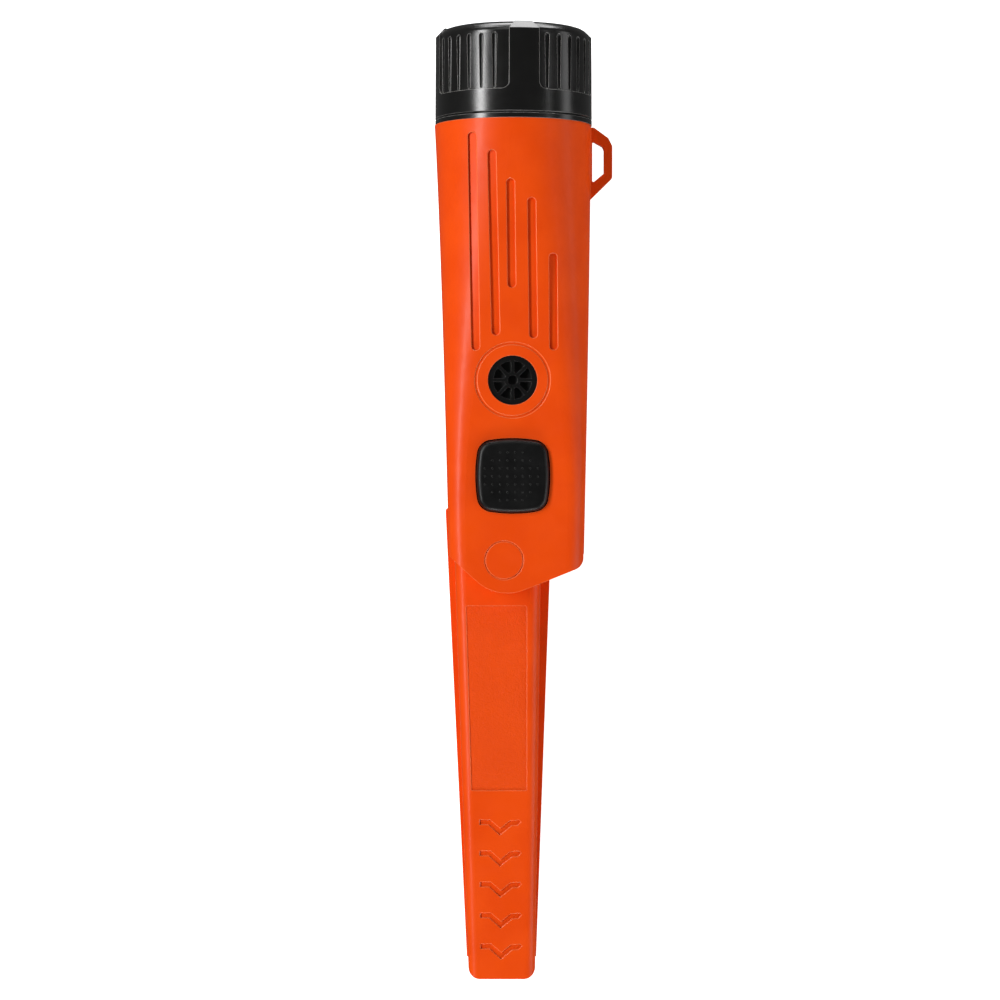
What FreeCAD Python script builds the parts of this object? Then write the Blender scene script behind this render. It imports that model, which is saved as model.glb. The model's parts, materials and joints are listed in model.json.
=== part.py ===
import FreeCAD, Part

import math
import os
import re

import Sketcher
from FreeCAD import Placement, Rotation, Vector

# Pinpointer probe, lying on its flat back.
# +X is the lanyard side, +Y points to the battery cap, +Z comes out of the button face.
# The origin lies on the flat back, under the cap's axis, near the middle of the length.

os.makedirs("parts", exist_ok=True)
doc = FreeCAD.newDocument("pinpointer_probe")

# ---------------------------------------------------------------- driving dimensions

DIMENSIONS = [
    # name, millimetres (or degrees, or a count), what it is
    ("axis_z", 19.9, "height of the cap's axis over the flat back"),
    ("seam_y", 93.2, "top edge of the housing"),
    ("tip_y", -119.95, "end of the probe"),
    ("tip_seam_z", 8.8, "height of the parting plane at the probe's tip"),
    ("wall", 2.2, "wall of the housing"),
    ("gap", 0.25, "clearance round moving pieces"),
    ("back_trim", 0.06, "depth cut off the rounded form to leave a true flat back"),
    # four sections of the handle
    ("neck_y", 93.2, "first section of the handle, at the cap"),
    ("neck_left", -19.65, "its left side"),
    ("neck_right", 19.3, "its right side"),
    ("neck_round", 19.15, "its corner radius, almost a circle"),
    ("grip_y", 60.0, "second section"),
    ("grip_left", -18.15, "its left side"),
    ("grip_right", 18.85, "its right side"),
    ("grip_round", 13.6, "its corner radius"),
    ("palm_y", 25.0, "third section, above the button"),
    ("palm_left", -17.0, "its left side"),
    ("palm_right", 18.15, "its right side"),
    ("palm_round", 7.0, "its corner radius"),
    ("nose_y", -26.0, "fourth section, below the nose"),
    ("nose_left", -15.6, "its left side"),
    ("nose_right", 17.1, "its right side"),
    ("nose_round", 5.6, "its corner radius"),
    ("back_round_extra", 2.0, "the back corners are rounder by this much"),
    ("neck_front", 39.3, "height of the front face at the cap"),
    ("nose_front", 32.7, "height of the front face at the nose"),
    # lower end of the handle
    ("chin_x", -1.55, "centre of the round chin"),
    ("chin_y", -11.6, "centre of the round chin"),
    ("chin_radius", 11.3, "radius of the chin"),
    ("chin_left_angle", 42.5, "slope of the left edge of the chin, degrees"),
    ("chin_right_angle", 21.8, "slope of the right edge of the chin, degrees"),
    ("chin_corner", 3.1, "radius of its right corner"),
    ("chin_edge_round", 1.3, "rounding of the chin's front edge"),
    # probe body
    ("root_y", 6.0, "hidden upper end of the probe body"),
    ("root_left", -15.3, "left side there"),
    ("root_right", 7.0, "right side there"),
    ("root_front", 24.6, "front face there"),
    ("root_round", 2.8, "rounding of the front edges there"),
    ("tip_left", -11.2, "left side at the tip"),
    ("tip_right", 5.4, "right side at the tip"),
    ("tip_front", 17.0, "front face at the tip"),
    ("tip_round", 2.4, "rounding of the front edges at the tip"),
    ("tip_corner", 2.9, "the tip's two corners, seen from the front"),
    # scraping blades along the parting plane
    ("blade_thick", 2.6, "thickness of the two blades"),
    ("blade_top_y", -2.0, "upper end of the left blade"),
    ("blade_end_y", -115.1, "lower end of the blades"),
    ("blade_top_left", -17.05, "left blade at its upper end"),
    ("blade_end_left", -11.75, "left blade at its lower end"),
    ("blade_top_right", 9.7, "right blade, level with the left one's upper end"),
    ("blade_end_right", 5.75, "right blade at its lower end"),
    # lanyard loop
    ("loop_thick", 3.2, "thickness of the lanyard loop"),
    ("loop_reach", 24.6, "outer side of the loop"),
    ("loop_bar", 2.1, "width of the loop's bar"),
    ("loop_top_y", 92.8, "upper end of the loop"),
    ("loop_low_y", 74.6, "lower end of the loop"),
    # shallow decoration
    ("groove_depth", 0.6, "depth of the grip grooves"),
    ("groove_width", 2.1, "width of the grip grooves"),
    ("ring_radius", 8.65, "inner radius of the round line about the speaker"),
    ("ring_width", 0.65, "its width"),
    ("chin_ring_x", -2.35, "centre of the round line on the chin"),
    ("chin_ring_y", -14.8, "centre of the round line on the chin"),
    ("chin_ring_radius", 4.53, "its inner radius"),
    ("chin_ring_width", 0.3, "its width"),
    ("ring_depth", 0.18, "depth of both round lines"),
    ("panel_depth", 0.2, "depth of the probe's panel"),
    ("panel_left", -11.85, "left side of the panel"),
    ("panel_right", 3.3, "right side of the panel"),
    ("panel_top_y", -26.3, "upper end of the panel"),
    ("panel_low_y", -72.5, "lower end of the panel"),
    ("panel_taper", 1.35, "its left side comes in by this much"),
    ("chevron_pitch", 7.81, "spacing of the chevrons"),
    ("chevron_y", -83.7, "vertex of the first chevron"),
    ("chevron_x", -3.4, "vertex of the first chevron"),
    ("chevron_drift", 0.07, "each further vertex is this much more to the right"),
    ("chevron_band", 1.25, "width of a chevron's band"),
    ("chevron_depth", 0.3, "depth of the chevrons"),
    # speaker and button, both square to the sloping front face
    ("speaker_x", -0.3, "centre of the speaker"),
    ("speaker_y", 29.3, "centre of the speaker"),
    ("grille_radius", 6.0, "radius of the speaker grille"),
    ("slot_reach", 4.7, "outer radius of the openings between the spokes"),
    ("hub_radius", 1.95, "radius of the ring that the spokes run to"),
    ("hub_hole", 1.2, "radius of its hole"),
    ("spoke_half", 0.42, "half the width of a spoke"),
    ("grille_thick", 1.7, "thickness of the speaker grille"),
    ("button_x", -0.25, "centre of the button"),
    ("button_y", 5.9, "centre of the button"),
    ("button_width", 17.85, "width of the button"),
    ("button_length", 18.05, "length of the button"),
    ("button_bulge", 0.45, "how far each side of the button bows out"),
    ("button_corner", 3.3, "corner radius of the button"),
    ("button_proud", 1.5, "height of the button over the front face"),
    ("button_round", 1.35, "rounding of its front edge"),
    ("dot_pitch_x", 1.85, "spacing of the raised dots along a row"),
    ("dot_pitch_y", 1.95, "spacing of the rows of dots"),
    ("dot_shift", 0.33, "the dots lie this far to the left of the middle"),
    # cap and neck
    ("cap_radius", 19.5, "radius of the cap's lower band"),
    ("cap_low_y", 94.65, "lower edge of the cap"),
    ("cap_top_y", 117.0, "top of the cap"),
    ("cap_chamfer", 1.9, "chamfer of the cap's four straps"),
    ("pad_drop", 0.3, "how far the fluted pads lie under the straps between them"),
    ("dome_reach", 3.3, "the rounding over each pad reaches this far in"),
    ("dome_fall", 3.0, "and this far down"),
    ("pad_low_y", 100.3, "lower edge of the fluted pads"),
    ("pad_half_angle", 33.7, "half the angle of a fluted pad"),
    ("strap_angle", 7.7, "turn of the front strap towards the lanyard side"),
    ("flute_pitch", 10.1, "angle between flutes"),
    ("flute_shift", -2.3, "turn of the six flutes from the middle of their pad"),
    ("flute_low_y", 100.9, "lower end of the flutes"),
    ("flute_top_y", 113.4, "upper end of the flutes"),
    ("flute_top_radius", 0.62, "flute radius at the top"),
    ("flute_low_radius", 0.36, "flute radius at the bottom"),
    ("flange_thick", 1.2, "visible flange of the neck"),
    ("flange_radius", 19.5, "radius of that flange"),
    ("neck_bore", 15.6, "bore that the battery passes"),
    ("seat_radius", 17.4, "bore of the housing that holds the neck"),
    ("neck_top_y", 107.0, "upper end of the threaded neck"),
    ("thread_pitch", 3.0, "pitch of the cap's thread"),
    ("thread_depth", 0.7, "depth of the thread"),
    ("thread_root", 16.6, "root radius of the neck's thread"),
    ("thread_start_y", 99.6, "first turn of the neck's thread"),
    ("thread_turns", 1.9, "turns of thread"),
    # inside
    ("battery_width", 26.5, "nine-volt block battery"),
    ("battery_depth", 17.5, "nine-volt block battery"),
    ("battery_length", 46.4, "its case without the terminals"),
    ("battery_low_y", 56.8, "terminal end of the battery case"),
    ("snap_spacing", 12.7, "spacing of the battery's snaps"),
    ("board_thick", 1.6, "circuit board"),
    ("board_z", 21.3, "underside of the circuit board"),
    ("board_left", -7.1, "left edge of the board"),
    ("board_right", 8.6, "right edge of the board"),
    ("board_low_y", -12.0, "lower end of the board"),
    ("board_top_y", 48.0, "upper end of the board"),
    ("rod_x", -3.7, "axis of the ferrite rod"),
    ("rod_z", 8.6, "axis of the ferrite rod"),
    ("rod_radius", 3.9, "ferrite rod"),
    ("former_radius", 4.5, "tube of the coil former"),
    ("former_low_y", -114.5, "lower end of the coil former"),
    ("former_top_y", -26.0, "upper end of the coil former"),
    ("led_x", 12.9, "axis of the lamp"),
    ("led_z", 14.2, "axis of the lamp"),
    ("lens_radius", 2.9, "lens of the lamp"),
    ("screw_radius", 1.3, "shank of the housing screws"),
    ("screw_head", 2.5, "head of the housing screws"),
    ("boss_radius", 2.9, "screw bosses"),
    ("motor_x", 0.4, "axis of the vibration motor"),
    ("motor_z", 8.2, "axis of the vibration motor"),
    ("motor_radius", 3.2, "can of the vibration motor"),
]

sheet = doc.addObject("Spreadsheet::Sheet", "dims")
for row, (alias, size, meaning) in enumerate(DIMENSIONS, start=1):
    sheet.set("A%d" % row, alias)
    sheet.set("B%d" % row, str(size))
    sheet.setAlias("B%d" % row, alias)
    sheet.set("C%d" % row, meaning)
doc.recompute()
ALIASES = {alias for alias, _, _ in DIMENSIONS}


# ---------------------------------------------------------------- helpers


def formula(text):
    """Write 'seam_y - wall' as an expression on the sheet."""

    def on_sheet(word):
        return "dims." + word.group() if word.group() in ALIASES else word.group()

    return re.sub(r"[a-z_]+", on_sheet, str(text))


def value(text):
    return float(sheet.evalExpression(formula(text)))


def point(*formulas):
    return Vector(*[value(text) for text in formulas])


def bind(thing, **sizes):
    """Tie each size to the sheet."""
    for size, text in sizes.items():
        thing.setExpression(size, formula(text))
    return thing


def place(thing, origin, rotation=Rotation()):
    thing.Placement = Placement(point(*origin), rotation)
    for axis, text in zip("xyz", origin):
        thing.setExpression(".Placement.Base." + axis, formula(text))
    return thing


ALONG_Y = Rotation(Vector(1, 0, 0), -90)
UPRIGHT = Rotation()


def block(name, low, high):
    """A box between two corners."""
    box = bind(doc.addObject("Part::Box", name), Length="%s - (%s)" % (high[0], low[0]),
               Width="%s - (%s)" % (high[1], low[1]), Height="%s - (%s)" % (high[2], low[2]))
    return place(box, low)


def rod(name, radius, length, start, rotation=ALONG_Y):
    """A cylinder that starts at a point."""
    return place(bind(doc.addObject("Part::Cylinder", name), Radius=radius, Height=length), start, rotation)


def torus(name, ring, cord, centre, rotation=ALONG_Y):
    return place(bind(doc.addObject("Part::Torus", name), Radius1=ring, Radius2=cord), centre, rotation)


def fuse(name, *things):
    union = doc.addObject("Part::MultiFuse", name)
    union.Shapes = list(things)
    union.Refine = True
    return union


def group(name, things):
    """Several separate solids in one sub-part."""
    pieces = doc.addObject("Part::Compound", name)
    pieces.Links = list(things)
    return pieces


def cut(name, base, *tools):
    remainder = doc.addObject("Part::Cut", name)
    remainder.Base = base
    remainder.Tool = tools[0] if len(tools) == 1 else group(name + "_tools", tools)
    return remainder


def common(name, first, second):
    overlap = doc.addObject("Part::Common", name)
    overlap.Base = first
    overlap.Tool = second
    return overlap


def tube(name, outer, inner, length, start, rotation=ALONG_Y):
    return cut(name, rod(name + "_outside", outer, length, start, rotation),
               rod(name + "_inside", inner, length, start, rotation))


def sketch_on(body, name, role, offset="0"):
    """A sketch on one of the body's own origin planes."""
    sketch = body.newObject("Sketcher::SketchObject", name)
    sketch.AttachmentSupport = [(next(f for f in body.Origin.OriginFeatures if f.Role == role), "")]
    sketch.MapMode = "FlatFace"
    sketch.setExpression("AttachmentOffset.Base.z", formula(offset))
    return sketch


def pin_point(sketch, edge, end, x, y):
    """Hold one end of an edge at a place given by two formulas."""
    for kind, text in (("DistanceX", x), ("DistanceY", y)):
        index = sketch.addConstraint(Sketcher.Constraint(kind, -1, 1, edge, end, value(text)))
        sketch.setExpression("Constraints[%d]" % index, formula(text))


def outline(body, name, role, corners, offset="0"):
    """A closed sketch; a corner is (x, y), or (x, y, radius) where it is rounded."""
    sketch = sketch_on(body, name, role, offset)
    spots = [point(corner[0], corner[1], "0") for corner in corners]
    count = len(corners)
    for index, spot in enumerate(spots):
        sketch.addGeometry(Part.LineSegment(spot, spots[(index + 1) % count]), False)
    for index, corner in enumerate(corners):
        sketch.addConstraint(Sketcher.Constraint("Coincident", index, 2, (index + 1) % count, 1))
        pin_point(sketch, index, 1, corner[0], corner[1])
    for index, corner in enumerate(corners):
        if len(corner) == 3:
            before = (index - 1) % count
            after = spots[(index + 1) % count]
            sketch.fillet(before, index, spots[before], after, value(corner[2]), True, True)
    return sketch


def rounded_section(body, name, offset, left, right, low, high, high_round, low_round):
    """A rectangle with its own corner radii above and below, across the object."""
    sketch = sketch_on(body, name, "XZ_Plane", "-(%s)" % offset)
    x0, x1, z0, z1 = value(left), value(right), value(low), value(high)
    upper, lower = value(high_round), value(low_round)
    quarter = math.pi / 2
    corners = [
        (x1 - lower, z0 + lower, lower, -quarter),
        (x1 - upper, z1 - upper, upper, 0),
        (x0 + upper, z1 - upper, upper, quarter),
        (x0 + lower, z0 + lower, lower, 2 * quarter),
    ]
    arcs = []
    for x, z, radius, start in corners:
        circle = Part.Circle(Vector(x, z, 0), Vector(0, 0, 1), radius)
        arcs.append(Part.ArcOfCircle(circle, start, start + quarter))
    for index, arc in enumerate(arcs):
        following = arcs[(index + 1) % 4]
        sketch.addGeometry(arc, False)
        sketch.addGeometry(Part.LineSegment(arc.EndPoint, following.StartPoint), False)
    for index in range(8):
        sketch.addConstraint(Sketcher.Constraint("Tangent", index, 2, (index + 1) % 8, 1))
    for line, direction in ((1, "Vertical"), (3, "Horizontal"), (5, "Vertical"), (7, "Horizontal")):
        sketch.addConstraint(Sketcher.Constraint(direction, line))
    for arc, text in ((0, low_round), (2, high_round), (4, high_round), (6, low_round)):
        index = sketch.addConstraint(Sketcher.Constraint("Radius", arc, value(text)))
        sketch.setExpression("Constraints[%d]" % index, formula(text))
    for line, kind, text in ((1, "DistanceX", right), (3, "DistanceY", high), (5, "DistanceX", left),
                             (7, "DistanceY", low)):
        index = sketch.addConstraint(Sketcher.Constraint(kind, -1, 1, line, 1, value(text)))
        sketch.setExpression("Constraints[%d]" % index, formula(text))
    return sketch


def loft(body, name, sections, ruled=False):
    solid = body.newObject("PartDesign::AdditiveLoft", name)
    solid.Profile = sections[0]
    solid.Sections = sections[1:]
    solid.Ruled = ruled
    return solid


def pad(body, sketch, length, both_ways=False):
    solid = body.newObject("PartDesign::Pad", sketch.Name + "_pad")
    solid.Profile = sketch
    solid.Midplane = both_ways
    return bind(solid, Length=length)


def pocket_through(body, sketch):
    hollow = body.newObject("PartDesign::Pocket", sketch.Name + "_pocket")
    hollow.Profile = sketch
    hollow.Type = "ThroughAll"
    hollow.Midplane = True
    return hollow


def revolve(name, profile):
    """A body turned about the cap's axis; the profile is (radius, y) corners."""
    body = doc.addObject("PartDesign::Body", name)
    sketch = outline(body, name + "_profile", "XY_Plane", profile)
    turned = body.newObject("PartDesign::Revolution", name + "_turned")
    turned.Profile = sketch
    turned.ReferenceAxis = (sketch, ["V_Axis"])
    turned.Angle = 360
    return place(body, ("0", "0", "axis_z"))


def round_edges(body, base, radius, wanted):
    """Fillet the edges of a feature that a test picks out."""
    doc.recompute()
    names = ["Edge%d" % (index + 1) for index, edge in enumerate(base.Shape.Edges) if wanted(edge)]
    fillet = body.newObject("PartDesign::Fillet", base.Name + "_round")
    fillet.Base = (base, names)
    return bind(fillet, Radius=radius)


NODES = {}


def sub_part(name, thing):
    thing.Label = name
    NODES[name] = thing
    return thing


# ---------------------------------------------------------------- forms of the housing

FRONT_SLOPE = "(neck_front - nose_front) / (neck_y - nose_y)"
SLOPE_ANGLE = math.degrees(math.atan(value(FRONT_SLOPE)))
SEAM_ANGLE = math.degrees(math.atan(value("(axis_z - tip_seam_z) / (seam_y - tip_y)")))
SEAM_TILT = Rotation(Vector(1, 0, 0), SEAM_ANGLE)
SEAM_ORIGIN = ("0", "seam_y", "axis_z")
FACE_TILT = Rotation(Vector(1, 0, 0), SLOPE_ANGLE)


def front_height(y):
    return "neck_front - (%s) * (neck_y - (%s))" % (FRONT_SLOPE, y)


def chin_cutter(body, inset):
    """A sketch of all that lies beyond the lower end of the handle."""
    radius = "(chin_radius - %s)" % inset
    left_x = "(chin_x - %s * sin(chin_left_angle * 1deg))" % radius
    left_y = "(chin_y - %s * cos(chin_left_angle * 1deg))" % radius
    right_x = "(chin_x + %s * sin(chin_right_angle * 1deg))" % radius
    right_y = "(chin_y - %s * cos(chin_right_angle * 1deg))" % radius
    far_left, far_right, far_down = "-40", "40", "-60"
    left_end = "%s + (%s - (%s)) * tan(chin_left_angle * 1deg)" % (left_y, left_x, far_left)
    corner_x = "(nose_right + 0.1 - %s)" % inset
    corner_y = "%s + (%s - %s) * tan(chin_right_angle * 1deg)" % (right_y, corner_x, right_x)
    sketch = sketch_on(body, body.Name + "_chin", "XY_Plane")
    spots = [(far_left, left_end), (left_x, left_y), (right_x, right_y), (corner_x, corner_y),
             (corner_x, "%s + 3" % corner_y), (far_right, "%s + 3" % corner_y), (far_right, far_down),
             (far_left, far_down)]
    places = [point(x, y, "0") for x, y in spots]
    centre = point("chin_x", "chin_y", "0")
    start, end = [math.atan2(spot.y - centre.y, spot.x - centre.x) for spot in places[1:3]]
    for index, spot in enumerate(places):
        if index == 1:
            circle = Part.Circle(centre, Vector(0, 0, 1), value(radius))
            sketch.addGeometry(Part.ArcOfCircle(circle, start, end), False)
        else:
            sketch.addGeometry(Part.LineSegment(spot, places[(index + 1) % len(places)]), False)
    for index, (x, y) in enumerate(spots):
        joining = "Tangent" if index == 0 else "Coincident"
        sketch.addConstraint(Sketcher.Constraint(joining, index, 2, (index + 1) % len(spots), 1))
        pin_point(sketch, index, 1, x, y)
    sketch.fillet(2, 3, places[2], places[4], value("chin_corner"), True, True)
    return sketch


def handle_form(name, inset):
    """The handle as a full solid, drawn in by an inset all round."""
    body = doc.addObject("PartDesign::Body", name)
    back = "-back_trim" if inset == "0" else inset
    inset = "(%s)" % inset
    sections = []
    for part in ("neck", "grip", "palm", "nose"):
        y = part + "_y"
        rounding = "%s_round - %s" % (part, inset)
        back_rounding = rounding if part == "neck" else rounding + " + back_round_extra"
        sections.append(rounded_section(
            body, "%s_%s" % (name, part), y, "%s_left + %s" % (part, inset), "%s_right - %s" % (part, inset),
            back, "%s - %s" % (front_height(y), inset), rounding, back_rounding))
    loft(body, name + "_loft", sections)
    solid = pocket_through(body, chin_cutter(body, inset))
    if inset == "0":
        front_low = value("nose_front") - 3
        corner_y = value("chin_y")
        solid = round_edges(body, solid, "chin_edge_round",
                            lambda edge: edge.BoundBox.ZMin > front_low and edge.BoundBox.YMax < corner_y
                            and edge.BoundBox.YMin > value("nose_y") + 1)
    body.Tip = solid
    return body


def tip_cutter(body):
    """A sketch of all that lies beyond the tip's end and its two round corners."""
    above, below = "tip_y + tip_corner + 0.02", "tip_y - 5"
    taper = "(tip_corner + 0.6) / (root_y - tip_y)"
    left = "tip_left - (tip_left - root_left) * %s - 0.01" % taper
    right = "tip_right + (root_right - tip_right) * %s + 0.01" % taper
    return outline(body, body.Name + "_end", "XY_Plane", [
        ("-30", above), (left, above), (left, "tip_y", "tip_corner"), (right, "tip_y", "tip_corner"),
        (right, above), ("30", above), ("30", below), ("-30", below)])


def probe_form(name, inset):
    """The probe as a full solid, drawn in by an inset all round."""
    body = doc.addObject("PartDesign::Body", name)
    outermost = inset == "0"
    back = "-back_trim" if outermost else inset
    inset = "(%s)" % inset
    end = "tip_y - 0.5" if outermost else "tip_y + %s" % inset
    sections = []
    for part, y in (("root", "root_y"), ("tip", end)):
        rounding = "max(%s_round - %s; 0.6)" % (part, inset)
        sections.append(rounded_section(
            body, "%s_%s" % (name, part), y, "%s_left + %s" % (part, inset), "%s_right - %s" % (part, inset),
            back, "%s_front - %s" % (part, inset), rounding, rounding))
    solid = loft(body, name + "_loft", sections, ruled=True)
    if outermost:
        solid = pocket_through(body, tip_cutter(body))
    body.Tip = solid
    return body


def seam_body(name, corners, thickness):
    """A flat plate lying in the parting plane; corners are in the object's own x and y."""
    body = doc.addObject("PartDesign::Body", name)
    stretch = "cos(%.6f deg)" % SEAM_ANGLE
    local = [(corner[0], "((%s) - seam_y) / %s" % (corner[1], stretch)) + tuple(corner[2:])
             for corner in corners]
    body.Tip = pad(body, outline(body, name + "_outline", "XY_Plane", local), thickness, both_ways=True)
    return place(body, SEAM_ORIGIN, SEAM_TILT)


def build_housing_forms():
    handle = handle_form("handle_form", "0")
    probe = probe_form("probe_form", "0")
    inner_x = "-4"
    blades = seam_body("blades", [
        ("blade_top_left", "blade_top_y", "0.8"), (inner_x, "blade_top_y"),
        ("blade_top_right", "blade_top_y"),
        ("blade_end_right", "blade_end_y"), (inner_x, "blade_end_y - 1"), ("blade_end_left", "blade_end_y")],
        "blade_thick")
    loop = seam_body("lanyard_loop", [
        ("grip_right - 1", "loop_top_y"), ("loop_reach - 4.6", "loop_top_y", "0.8"),
        ("loop_reach - 1", "loop_top_y - 2.6", "1"), ("loop_reach", "loop_top_y - 4.6", "1"),
        ("loop_reach", "loop_low_y + 5.6", "1.2"), ("grip_right", "loop_low_y"),
        ("grip_right - 1", "loop_low_y")],
        "loop_thick")
    eye = seam_body("lanyard_eye", [
        ("grip_right + 0.75", "loop_top_y - 3.4", "0.3"),
        ("loop_reach - loop_bar - 0.4", "loop_top_y - 4.8", "0.5"),
        ("loop_reach - loop_bar", "loop_top_y - 5.7", "0.3"),
        ("loop_reach - loop_bar", "loop_low_y + 6.8", "0.5"),
        ("grip_right + 0.75", "loop_low_y + 4.4", "0.3")], "loop_thick * 2")
    outside = fuse("housing_outside", handle, probe, blades, cut("loop_with_eye", loop, eye))
    hollow = fuse("housing_hollow", handle_form("handle_hollow", "wall"), probe_form("probe_hollow", "wall"))
    return outside, hollow


def face_pivot(x, y):
    """The point of the sloping front face over (x, y)."""
    return point(x, y, front_height(y))


def on_face(thing, x, y):
    """Stand a piece, drawn about its own origin, square on the sloping front face."""
    for axis in "xyz":
        thing.setExpression(".Placement.Base." + axis, None)
    thing.Placement = Placement(face_pivot(x, y), FACE_TILT).multiply(thing.Placement)
    return thing


def slot_shape(name, top, low):
    """A round-ended upright slot between two (x, y) points, for a grip groove."""
    top_x, top_y, low_x, low_y = [value(text) for text in top + low]
    slant = Rotation(Vector(0, 0, 1), math.degrees(math.atan2(top_y - low_y, top_x - low_x)))
    ends = [rod("%s_end%d" % (name, index), "groove_width / 2", "30", (x, y, "18"), UPRIGHT)
            for index, (x, y) in enumerate((top, low))]
    middle = bind(doc.addObject("Part::Box", name + "_middle"), Width="groove_width", Height="30")
    middle.Length = math.hypot(top_x - low_x, top_y - low_y)
    side = slant.multVec(Vector(0, -value("groove_width / 2"), 0))
    middle.Placement = Placement(Vector(low_x, low_y, 18) + side, slant)
    return fuse(name, middle, *ends)


def upright_tube(name, radius, width, x, y):
    return tube(name, "%s + %s" % (radius, width), radius, "30", (x, y, "18"), UPRIGHT)


def button_outline(body, name, grow, offset="0"):
    """A square with round corners and sides that bow out, about the body's origin."""
    half_x = value("button_width / 2 + (%s)" % grow)
    half_y = value("button_length / 2 + (%s)" % grow)
    bulge = value("button_bulge")
    corner = value("button_corner + (%s)" % grow)
    sketch = sketch_on(body, name, "XY_Plane", offset)
    spots = []
    for side in range(4):
        across, along = (half_x, half_y) if side % 2 == 0 else (half_y, half_x)
        rotation = Rotation(Vector(0, 0, 1), 90 * side)
        for spot in ((across - bulge, -along + corner), (across, 0), (across - bulge, along - corner)):
            spots.append(rotation.multVec(Vector(spot[0], spot[1], 0)))
        round_middle = Vector(across - bulge - corner * 0.3, along - bulge - corner * 0.3, 0)
        spots.append(rotation.multVec(round_middle))
    count = len(spots)
    for index in range(0, count, 2):
        sketch.addGeometry(Part.Arc(spots[index], spots[index + 1], spots[(index + 2) % count]), False)
    edges = count // 2
    for index in range(edges):
        sketch.addConstraint(Sketcher.Constraint("Coincident", index, 2, (index + 1) % edges, 1))
        sketch.addConstraint(Sketcher.Constraint("Block", index))
    return sketch


def button_prism(name, grow, low, high, face=True):
    """A straight prism of the button's outline between two heights over the front face."""
    body = doc.addObject("PartDesign::Body", name)
    sketch = button_outline(body, name + "_outline", grow, low)
    body.Tip = pad(body, sketch, "(%s) - (%s)" % (high, low))
    if face:
        on_face(body, "button_x", "button_y")
    return body


# ---------------------------------------------------------------- the two housing shells

SCREW_PLACES = [("-12.2", "44"), ("13", "44"), ("-10.2", "-9.2"), ("13.6", "20")]


def grip_grooves():
    """Five round-ended grooves, given by their end points, and the two round lines."""
    ends = [(("-10.2", "88.9"), ("-9.3", "37.6")), (("-5.35", "84.4"), ("-4.4", "41.3")),
            (("-0.8", "77.4"), ("-0.5", "52.9")), (("4.35", "72.8"), ("4.8", "40.6")),
            (("9.6", "59.3"), ("9.75", "37.7"))]
    slots = [slot_shape("groove_%d" % number, top, low) for number, (top, low) in enumerate(ends)]
    rings = [upright_tube("speaker_line", "ring_radius", "ring_width", "speaker_x", "speaker_y"),
             upright_tube("chin_line", "chin_ring_radius", "chin_ring_width", "chin_ring_x", "chin_ring_y")]
    grooves = cut("deep_grooves", group("groove_tools", slots), handle_form("groove_floor", "groove_depth"))
    lines = cut("face_lines_cut", group("line_tools", rings), handle_form("line_floor", "ring_depth"))
    return [grooves, lines]


def chevrons():
    """Five check marks that point to the tip."""
    cutters = []
    for number in range(5):
        body = doc.addObject("PartDesign::Body", "chevron_%d" % number)
        x = "(chevron_x + %d * chevron_drift)" % number
        y = "(chevron_y - %d * chevron_pitch)" % number
        foot_low = y + " + 3.9 - chevron_band"
        corners = [
            (x, y), (x + " + 2.95", y + " + 2.4"), (x + " + 4.4", y + " + 2.45"),
            (x + " + 5.3", y + " + 3.35"),
            (x + " + 4.8", y + " + 3.85"), (x + " + 2.4", y + " + 3.65"), (x + " + 0.1", y + " + 1.7"),
            (x + " - 2.4", y + " + 3.9"), (x + " - 5.1", y + " + 3.9"), (x + " - 5.1", foot_low),
            (x + " - 2.9", foot_low)]
        body.Tip = pad(body, outline(body, "chevron_outline_%d" % number, "XY_Plane", corners), "40")
        cutters.append(body)
    return cutters


def probe_marks():
    body = doc.addObject("PartDesign::Body", "panel")
    corners = [("panel_left", "panel_top_y", "0.4"), ("panel_right", "panel_top_y", "0.4"),
               ("panel_right", "panel_low_y", "0.4"),
               ("panel_left + panel_taper", "panel_low_y", "0.4")]
    body.Tip = pad(body, outline(body, "panel_outline", "XY_Plane", corners), "40")
    panel = cut("panel_cut", body, probe_form("panel_floor", "panel_depth"))
    marks = cut("chevron_cut", group("chevron_tools", chevrons()), probe_form("chevron_floor", "chevron_depth"))
    return [panel, marks]


def seam_side(name, above):
    """All the space above or below the parting plane."""
    half = bind(doc.addObject("Part::Box", name), Length="100", Width="400", Height="100")
    corner = Vector(-50, -300, 0 if above else -100)
    half.Placement = Placement(point(*SEAM_ORIGIN), SEAM_TILT).multiply(Placement(corner, Rotation()))
    return half


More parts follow.
